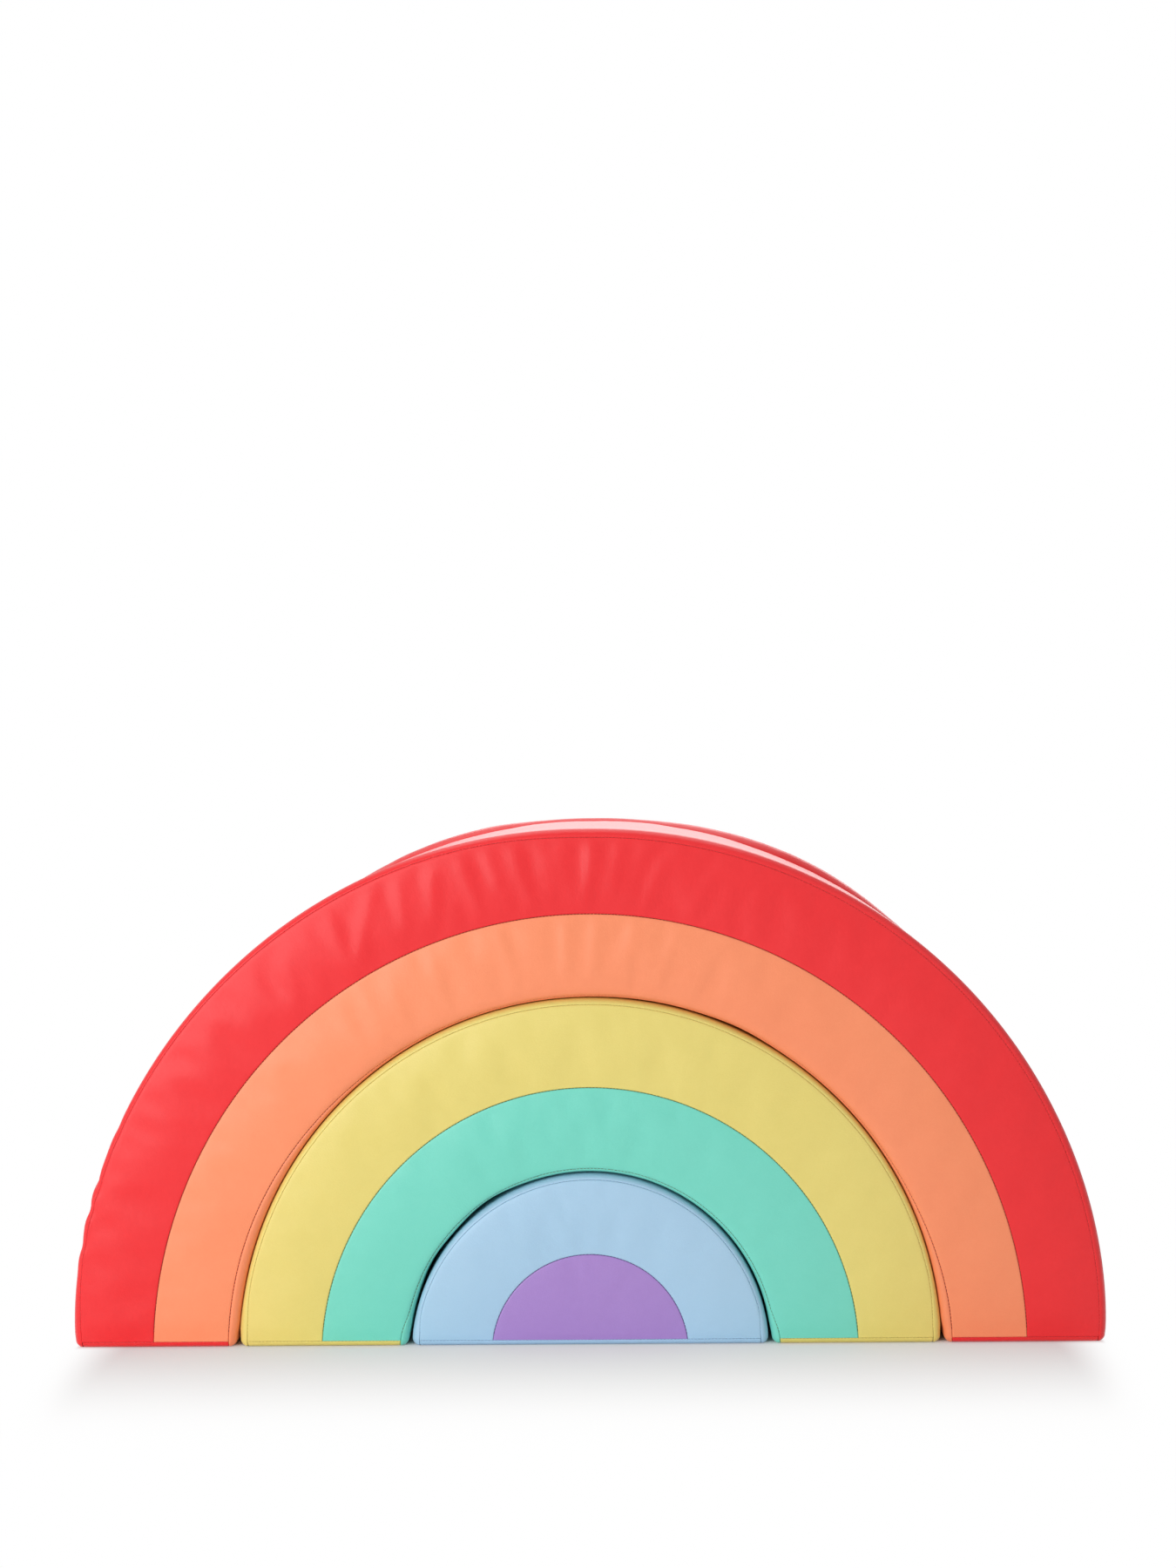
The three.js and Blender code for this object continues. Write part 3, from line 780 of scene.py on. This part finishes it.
def base_panel(name, block, ends, span, colour):
    """A base panel between two arcs, or for the half disc across it, over a span of the outline."""
    low, high = span
    across, step, sink = rolled_rows(high - low, BASE_ROWS, TIGHT_SEAM, TIGHT_SEAM)
    y, z, out_y, out_z = base_spot(low + across * (high - low) + step)
    left, right = [block.arc_point(arc, share, z)[0] for arc, share in ends]
    length = np.ptp(np.mean([left, right], axis=1))
    along, along_step, end_sink = [part.T for part in rolled_rows(length, BASE_ROWS)]
    x = left + along * (right - left) + np.sign(right - left) * along_step
    deep = np.maximum(sink, end_sink)
    if not block.is_arch:
        trough = 1 - smooth((np.abs(y) - TROUGH_SIDE) / TROUGH_SLOPE)
        deep = deep + ZIP_SINK * trough * (1 - smooth((np.abs(x) - BASE_ZIP_END) / TROUGH_SLOPE))
    points = np.stack([x, y - deep * out_y + 0 * x, z - deep * out_z + 0 * x], axis=-1) * MM
    facing = (Vector(points[points.shape[0] // 2, points.shape[1] // 2]), Vector((0, 0, -1)))
    cover_piece(name, points, block.body, colour, facing)


base_length = EDGE_RADIUS * math.pi + 2 * EDGE_DEPTH
base_seam = EDGE_RADIUS * math.asin(1 - BASE_SEAM_HEIGHT / EDGE_RADIUS)
for block, colour in ((outer_arch, "red"), (middle_arch, "yellow")):
    for share, side in ((0, "right"), (1, "left")):
        ends = [(block.arcs[0], share), (block.arcs[2], share)]
        span = (base_seam, base_length - base_seam)
        base_panel(f"{block.body}_base_{side}", block, ends, span, colour)
disc_ends = [(half_disc.arcs[2], 1), (half_disc.arcs[2], 0)]
front_span = (base_seam, base_length / 2 - ZIP_SLOT)
back_span = (base_length / 2 + ZIP_SLOT, base_length - base_seam)
base_panel("half_disc_base_front", half_disc, disc_ends, front_span, "blue")
base_panel("half_disc_base_back", half_disc, disc_ends, back_span, "blue")


# The zips: one in the lining of each opening and one in the base of the half disc. Each has two woven tapes
# sewn under the edges of the cloth, a nylon coil along each tape, a child-safe metal slider and two stops.
TAPE_WIDTH = 14.0
TAPE_DEPTH = 4.5
TAPE_THICKNESS = 0.8
TAPE_GAP = 0.3
TAPE_STEP = 4
TAPE_ROWS = 8
COIL_TOP = 2.6
COIL_PITCH = 2.0
COIL_OVERLAP = 0.5
TOOTH = (0.95, 3.0, 1.5)
TOOTH_BEVEL = 0.28
CLIP_HALF_WIDTH = 4.8
CLIP_WALL = 1.3
CLIP_PLATE = 1.4
CLIP_BEVEL = 0.3
CLIP_ROOM = 0.3
CURVE_ROOM = 0.6
SLIDER_LENGTH = 14.0
SLIDER_TAPER = 0.86
STOP_LENGTH = 4.0
STOP_ROOM = 0.4


def tape_look():
    """Woven polyester tape, with fine ribs both ways."""
    material, shade, surface = new_material("woven_zip_tape")
    cloth = shade.node("ShaderNodeTexCoord", output="UV")
    ribs = shade.node("ShaderNodeMapping", None, {"Vector": cloth, "Scale": (22.0, 22.0, 1.0)})
    warp = shade.node("ShaderNodeTexWave", {"bands_direction": "X"}, {"Vector": ribs, "Scale": 1.0})
    weft = shade.node("ShaderNodeTexWave", {"bands_direction": "Y"}, {"Vector": ribs, "Scale": 1.0})
    weave = shade.math("MAXIMUM", warp, weft)
    tone = shade.ramp(weave, (0.2, linear(206, 202, 194)), (0.9, linear(236, 233, 226)))
    bump = shade.bump(weave, 0.5, 0.0002)
    shade.feed(surface, {"Base Color": tone, "Roughness": weave * 0.15 + 0.65, "Normal": bump})
    return material


def coil_look():
    """Slightly cloudy nylon."""
    material, shade, surface = new_material("nylon_coil")
    where = shade.node("ShaderNodeTexCoord", output="Object")
    cloudy = shade.noise(where, 260.0, 3.0)
    tone = shade.ramp(cloudy, (0.3, linear(214, 211, 203)), (0.7, linear(240, 238, 232)))
    shade.feed(surface, {"Base Color": tone, "Roughness": cloudy * 0.2 + 0.3})
    return material


def zip_metal_look():
    """Plated metal, rubbed in use."""
    material, shade, surface = new_material("brushed_zip_metal")
    where = shade.node("ShaderNodeTexCoord", output="Object")
    rubbed = shade.noise(where, 420.0, 6.0)
    tone = shade.ramp(rubbed, (0.3, linear(176, 179, 183)), (0.7, linear(205, 207, 210)))
    bump = shade.bump(rubbed, 0.25, 0.0001)
    look = {"Base Color": tone, "Roughness": rubbed * 0.25 + 0.22, "Metallic": 1.0, "Normal": bump}
    shade.feed(surface, look)
    return material


class ZipLine:
    """Where a zip runs. At a distance along it from its middle: the spot on the cover's face, the way along
    the zip and the way into the block. The other way across it is the block's depth."""

    def __init__(self, block):
        self.block = block
        if block.is_arch:
            foot, crown = [size - EDGE_RADIUS for size in block.arcs[8]]
            self.radius = (foot * foot + crown * crown) / (2 * crown)
            self.centre = crown - self.radius
            start = np.arcsin((EDGE_RADIUS - self.centre) / self.radius)
            self.half = (math.pi / 2 - start) * (1 - 2 * ZIP_ENDS[block.body]) * self.radius
        else:
            self.half = BASE_ZIP_END

    def frame(self, along):
        """A matrix with X along the zip, Y across it and Z into the block, in millimetres."""
        if not self.block.is_arch:
            return Matrix.Translation((along, 0, 0))
        lean = along / self.radius
        out = Vector((math.sin(lean), 0, math.cos(lean)))
        way = Vector((math.cos(lean), 0, -math.sin(lean)))
        spot = self.radius * out + Vector((0, 0, self.centre))
        turned = Matrix((way, (0, 1, 0), out)).transposed().to_4x4()
        return Matrix.Translation(spot) @ turned


def zip_tape(name, line, side, weave):
    """A woven tape, flat under the edge of the cloth."""
    along = np.linspace(-line.half, line.half, round(line.half / TAPE_STEP))
    across = np.linspace(TAPE_GAP, TAPE_GAP + TAPE_WIDTH, TAPE_ROWS)
    rows = [[line.frame(a) @ Vector((0, side * b, TAPE_DEPTH)) for a in along] for b in across]
    points = np.array(rows) * MM
    shape, _ = grid_mesh(points, with_uvs=True)
    stretch = 2 * line.half / TAPE_WIDTH
    for face in shape.faces:
        for corner in face.loops:
            corner[shape.loops.layers.uv.active].uv.x *= stretch
    out = line.frame(0).to_3x3() @ Vector((0, 0, -1))
    turn_outwards(shape, (Vector(points[TAPE_ROWS // 2, len(along) // 2]), out))
    tape = make_piece(name + "_weave", shape, line.block.body, weave)
    thicken(tape, TAPE_THICKNESS)
    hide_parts(name)


def round_edges(shape, width, segments=1):
    """Rounds every edge of small solids."""
    edges = shape.edges[:]
    bmesh.ops.bevel(
        shape, geom=edges, affect="EDGES", offset=width, segments=segments, profile=0.5, material=-1
    )


def zip_coil(name, line, side, nylon):
    """A row of nylon teeth along the inner edge of a tape, which reach between those of the other tape."""
    shape = bmesh.new()
    count = round(2 * line.half / COIL_PITCH)
    thick, reach, height = TOOTH
    for tooth in range(count):
        along = -line.half + (tooth + (0.25 if side < 0 else 0.75)) * COIL_PITCH
        spot = Matrix.Translation((0, side * (reach / 2 - COIL_OVERLAP), COIL_TOP + height / 2))
        sizes = Matrix.Diagonal((thick, reach, height, 1))
        place = Matrix.Scale(MM, 4) @ line.frame(along) @ spot @ sizes
        bmesh.ops.create_cube(shape, size=1.0, matrix=place)
    round_edges(shape, TOOTH_BEVEL * MM)
    coil = make_piece(name, shape, line.block.body, nylon)


def zip_clip(name, line, along, length, taper, body, metal):
    """A metal clip over both coils: a plate with a wall down each side, bent from one strip."""
    sag = 0.0
    if line.block.is_arch:
        sag = length * length / (8 * line.radius) + CURVE_ROOM
    top = COIL_TOP - CLIP_ROOM - sag - CLIP_PLATE
    bottom = TAPE_DEPTH - CLIP_ROOM - sag
    outside_wall = [(CLIP_HALF_WIDTH, top), (CLIP_HALF_WIDTH, bottom)]
    inside = CLIP_HALF_WIDTH - CLIP_WALL
    half_outline = outside_wall + [(inside, bottom), (inside, top + CLIP_PLATE)]
    outline = half_outline + [(-y, deep) for y, deep in half_outline[::-1]]
    shape = bmesh.new()
    corners = [shape.verts.new((-length / 2, y, deep)) for y, deep in outline]
    end = shape.faces.new(corners)
    swept = bmesh.ops.extrude_face_region(shape, geom=[end])["geom"]
    far = [item for item in swept if isinstance(item, bmesh.types.BMVert)]
    bmesh.ops.translate(shape, verts=far, vec=(length, 0, 0))
    bmesh.ops.scale(shape, verts=far, vec=(1, taper, 1))
    bmesh.ops.recalc_face_normals(shape, faces=shape.faces)
    round_edges(shape, CLIP_BEVEL, 2)
    bmesh.ops.transform(shape, matrix=Matrix.Scale(MM, 4) @ line.frame(along), verts=shape.verts)
    clip = make_piece(name + "_metal", shape, body, metal)
    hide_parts(name)


zip_weave, zip_nylon, zip_metal = tape_look(), coil_look(), zip_metal_look()
for block, prefix, slider_body in (
    (outer_arch, "outer", "outer_slider"),
    (middle_arch, "middle", "middle_slider"),
    (half_disc, "half", "half_disc_slider"),
):
    line = ZipLine(block)
    for side, face in ((-1, "front"), (1, "back")):
        zip_tape(f"{prefix}_zip_tape_{face}", line, side, zip_weave)
        zip_coil(f"{prefix}_zip_coil_{face}", line, side, zip_nylon)
    stop_at = line.half - STOP_LENGTH / 2
    slider_at = line.half - STOP_LENGTH - STOP_ROOM - SLIDER_LENGTH / 2
    zip_clip(f"{prefix}_zip_stop_left", line, -stop_at, STOP_LENGTH, 1.0, block.body, zip_metal)
    zip_clip(f"{prefix}_zip_stop_right", line, stop_at, STOP_LENGTH, 1.0, block.body, zip_metal)
    slider = f"{prefix}_zip_slider"
    zip_clip(slider, line, slider_at, SLIDER_LENGTH, SLIDER_TAPER, slider_body, zip_metal)


# The sewing: a lockstitch of bonded polyester thread along every seam of the faces, coloured darker than
# the cloth as painted shade for the shadow in the seam. It lies down in the seam, between the two rolled
# edges.
STITCH_PITCH = 4.0
STITCH = (2.7, 0.75, 0.5)
STITCH_BEVEL = 0.16
STITCH_DEPTH = 0.5
SEAM_END = 0.004
BASE_SEAM_POINTS = 60


def seam_shaded_thread_look(name, colour, deep_colour):
    """Bonded thread, with fine strands a little apart in tone; its colours, darker than the cloth, are
    painted seam shade.
    """
    material, shade, surface = new_material(name)
    where = shade.node("ShaderNodeTexCoord", output="Object")
    strands = shade.noise(where, 900.0, 2.0)
    tone = shade.ramp(strands, (0.3, deep_colour), (0.7, colour))
    bump = shade.bump(strands, 0.4, 0.0002)
    shade.feed(surface, {"Base Color": tone, "Roughness": strands * 0.2 + 0.5, "Normal": bump})
    return material


def stitch_along(shape, path, above):
    """Stitches along a path, with the points above it to show which way the seam faces."""
    lengths = np.concatenate([[0], np.cumsum(np.linalg.norm(np.diff(path, axis=0), axis=1))]) / MM
    for along in np.arange(STITCH_PITCH, lengths[-1] - STITCH_PITCH, STITCH_PITCH):
        spot, ahead, over = [
            Vector([np.interp(at, lengths, line[:, axis]) for axis in range(3)])
            for at, line in ((along, path), (along + 0.5, path), (along, above))
        ]
        way = (ahead - spot).normalized()
        out = (over - spot).normalized()
        turned = Matrix((way, out.cross(way), out)).transposed().to_4x4()
        sizes = Matrix.Diagonal((*[size * MM for size in STITCH], 1))
        bmesh.ops.create_cube(shape, size=1.0, matrix=Matrix.Translation(spot) @ turned @ sizes)


def arc_seam(shape, block, seam):
    """Stitches along a seam of the faces, from foot to foot."""
    share = np.linspace(SEAM_END, 1 - SEAM_END, 2 * block.columns)
    mark = block.mark(seam_distance(block, seam, share))
    rise = skin_rise(block, mark, share) - STITCH_DEPTH
    path, above = [block.place(mark, share, rise + up, EDGE_RADIUS) for up in (0.0, 1.0)]
    stitch_along(shape, path, above)


def base_seams(shape, block):
    """Stitches along the seams between the faces and the base."""
    runs = [(block.arcs[0], 0, 0), (block.arcs[0], 1, 1)] if block.is_arch else [(block.arcs[2], 0, 1)]
    for side in (-1, 1):
        for first_arc, first, last in runs:
            start = block.arc_point(first_arc, first, EDGE_RADIUS)[0]
            end = block.arc_point(block.arcs[2], last, EDGE_RADIUS)[0]
            x = np.linspace(start, end, BASE_SEAM_POINTS)
            y = 0 * x + side * (SEAM_DEPTH - STITCH_DEPTH)
            path = np.stack([x, y, 0 * x + BASE_SEAM_HEIGHT], axis=-1) * MM
            stitch_along(shape, path, path + (0, side * MM, 0))


def stitching(name, block, seams, with_base, thread):
    """All the stitches of a block in one thread."""
    shape = bmesh.new()
    for seam in seams:
        arc_seam(shape, block, seam)
    if with_base:
        base_seams(shape, block)
    round_edges(shape, STITCH_BEVEL * MM)
    stitches = make_piece(name, shape, block.body, thread)


# Each thread is coloured darker than its cloth, the band threads much darker: painted shade for the seams'
# shadow.
for block, part, colour, tone, deep_tone in (
    (outer_arch, "rim", "red", (214, 50, 54), (196, 42, 46)),
    (outer_arch, "band", "brick", (150, 48, 36), (126, 38, 30)),
    (middle_arch, "rim", "yellow", (208, 190, 104), (192, 174, 92)),
    (middle_arch, "band", "olive", (112, 126, 82), (92, 106, 68)),
    (half_disc, "rim", "blue", (146, 180, 208), (130, 164, 194)),
    (half_disc, "band", "plum", (120, 100, 152), (102, 84, 134)),
):
    band_seams = (0, 1, 6, 7) if block.is_arch else (1, 6)
    seams = (2, 5) if part == "rim" else band_seams
    thread = seam_shaded_thread_look(colour + "_thread", linear(*tone), linear(*deep_tone))
    stitching(f"{block.body}_{part}_stitching", block, seams, part == "rim", thread)


# The studio: a pale floor that fades to a white glow round the blocks, with a painted shadow greying the
# glow near them and their own shadow under them, a white sky that lights them dimly, four soft lamps, and
# the camera in front.
PAPER_TONE = (0.93, 0.93, 0.93, 1.0)
SHADOW_CORNER = (0.54, 0.15, 0.0)
SIDE_STRETCH = (5.0, 1.0, 0.0)
BLOCK_SIDES = (("X", 0.05, 0.06), ("Y", -0.02, 0.0))


def floor_look():
    """A pale floor fading to a white glow round the blocks, grey near them as painted shadow, real shadow
    under them.
    """
    material, shade, surface = new_material("pale_floor")
    shade.feed(surface, {"Base Color": PAPER_TONE, "Roughness": 0.9, "Specular IOR Level": 0.1})
    where = shade.node("ShaderNodeTexCoord", output="Object")
    beyond = shade.vector("SUBTRACT", shade.vector("ABSOLUTE", where), SHADOW_CORNER)
    past = shade.vector("MAXIMUM", beyond, (0.0, 0.0, 0.0))
    drawn = shade.vector("MULTIPLY", past, SIDE_STRETCH)
    away = shade.node("ShaderNodeVectorMath", {"operation": "LENGTH"}, {0: drawn}, output="Value")
    softly = {"interpolation_type": "SMOOTHSTEP"}
    fade = {"Value": away, "From Min": -0.6, "From Max": 0.4}
    far = shade.node("ShaderNodeMapRange", softly, fade)
    # Painted shadow: the glow's colour is grey beside the blocks and white away from them.
    painted_shadow_fade = {"Value": away, "From Min": -0.25, "From Max": 0.3, "To Min": 0.4, "To Max": 1.0}
    painted_shadow_tone = shade.node("ShaderNodeMapRange", softly, painted_shadow_fade)
    open_floor = 0.0
    for axis, start, end in BLOCK_SIDES:
        past_side = shade.node("ShaderNodeSeparateXYZ", None, {0: beyond}, output=axis)
        side = {"Value": past_side, "From Min": start, "From Max": end}
        open_floor = shade.math("MAXIMUM", shade.node("ShaderNodeMapRange", None, side), open_floor)
    seen = shade.node("ShaderNodeLightPath", output="Is Camera Ray")
    mirrored = shade.node("ShaderNodeLightPath", output="Is Glossy Ray")
    glow = shade.node("ShaderNodeEmission", None, {"Color": painted_shadow_tone, "Strength": 1.0})
    lit = Shade(shade.tree, surface.outputs[0])
    glowing = far * open_floor * (seen + mirrored)
    mixed = shade.node("ShaderNodeMixShader", None, {0: glowing, 1: lit, 2: glow})
    shade.feed(shade.tree.nodes["Material Output"], {"Surface": mixed})
    return material


ground = bmesh.new()
bmesh.ops.create_circle(ground, cap_ends=True, segments=96, radius=14.0)
floor_mesh = bpy.data.meshes.new("floor")
ground.to_mesh(floor_mesh)
ground.free()
floor = bpy.data.objects.new("floor", floor_mesh)
floor_mesh.materials.append(floor_look())
scene.collection.objects.link(floor)

world = bpy.data.worlds.new("studio")
scene.world = world
world.use_nodes = True
sky = Shade(world.node_tree)
looked_at = sky.node("ShaderNodeLightPath", output="Is Camera Ray")
reflected = sky.node("ShaderNodeLightPath", output="Is Glossy Ray")
passed = sky.node("ShaderNodeLightPath", output="Is Transmission Ray")
AMBIENT = 0.28
shown = sky.math("MAXIMUM", looked_at, sky.math("MAXIMUM", reflected, passed))
backdrop = world.node_tree.nodes["Background"]
sky.feed(backdrop, {"Color": (1, 1, 1, 1), "Strength": shown * (1 - AMBIENT) + AMBIENT})


def soft_lamp(name, place, aim, size, power):
    """A square lamp turned to face a point."""
    lamp = bpy.data.lights.new(name, "AREA")
    lamp.size = size
    lamp.energy = power
    holder = bpy.data.objects.new(name, lamp)
    holder.location = place
    holder.rotation_euler = (Vector(aim) - Vector(place)).to_track_quat("-Z", "Y").to_euler()
    scene.collection.objects.link(holder)


soft_lamp("key_lamp", (-1.9, -2.8, 1.1), (0, 0, 0.3), 2.6, 76.0)
soft_lamp("fill_lamp", (2.2, -2.7, 1.8), (0, 0, 0.3), 2.8, 12.0)
soft_lamp("top_lamp", (-0.1, 0.6, 3.0), (0, 0, 0.2), 2.4, 26.0)
soft_lamp("back_lamp", (0.5, 3.2, 2.0), (0, 0, 0.3), 2.8, 30.0)

CAMERA_DISTANCE = 2.60
CAMERA_HEIGHT = 0.70
CAMERA_RIGHT = 0.075
CAMERA_ROLL = 0.35
SENSOR_WIDTH = 36.0
PIXELS_PER_METRE = 987.5
LONG_SIDE = 1800
FLOOR_LINE = 1544.5
MIDDLE_SHIFT = 1.5
camera_data = bpy.data.cameras.new("camera")
camera_data.sensor_width = SENSOR_WIDTH
camera_data.lens = SENSOR_WIDTH * PIXELS_PER_METRE * CAMERA_DISTANCE / LONG_SIDE
camera_data.shift_x = -(CAMERA_RIGHT * PIXELS_PER_METRE - MIDDLE_SHIFT) / LONG_SIDE
horizon = FLOOR_LINE - CAMERA_HEIGHT * PIXELS_PER_METRE
camera_data.shift_y = -(LONG_SIDE / 2 - horizon) / LONG_SIDE
camera = bpy.data.objects.new("camera", camera_data)
camera.location = (CAMERA_RIGHT, -SEAM_DEPTH * MM - CAMERA_DISTANCE, CAMERA_HEIGHT)
camera.rotation_euler = (math.pi / 2, math.radians(CAMERA_ROLL), 0)
scene.collection.objects.link(camera)
scene.camera = camera
scene.view_settings.view_transform = "Standard"
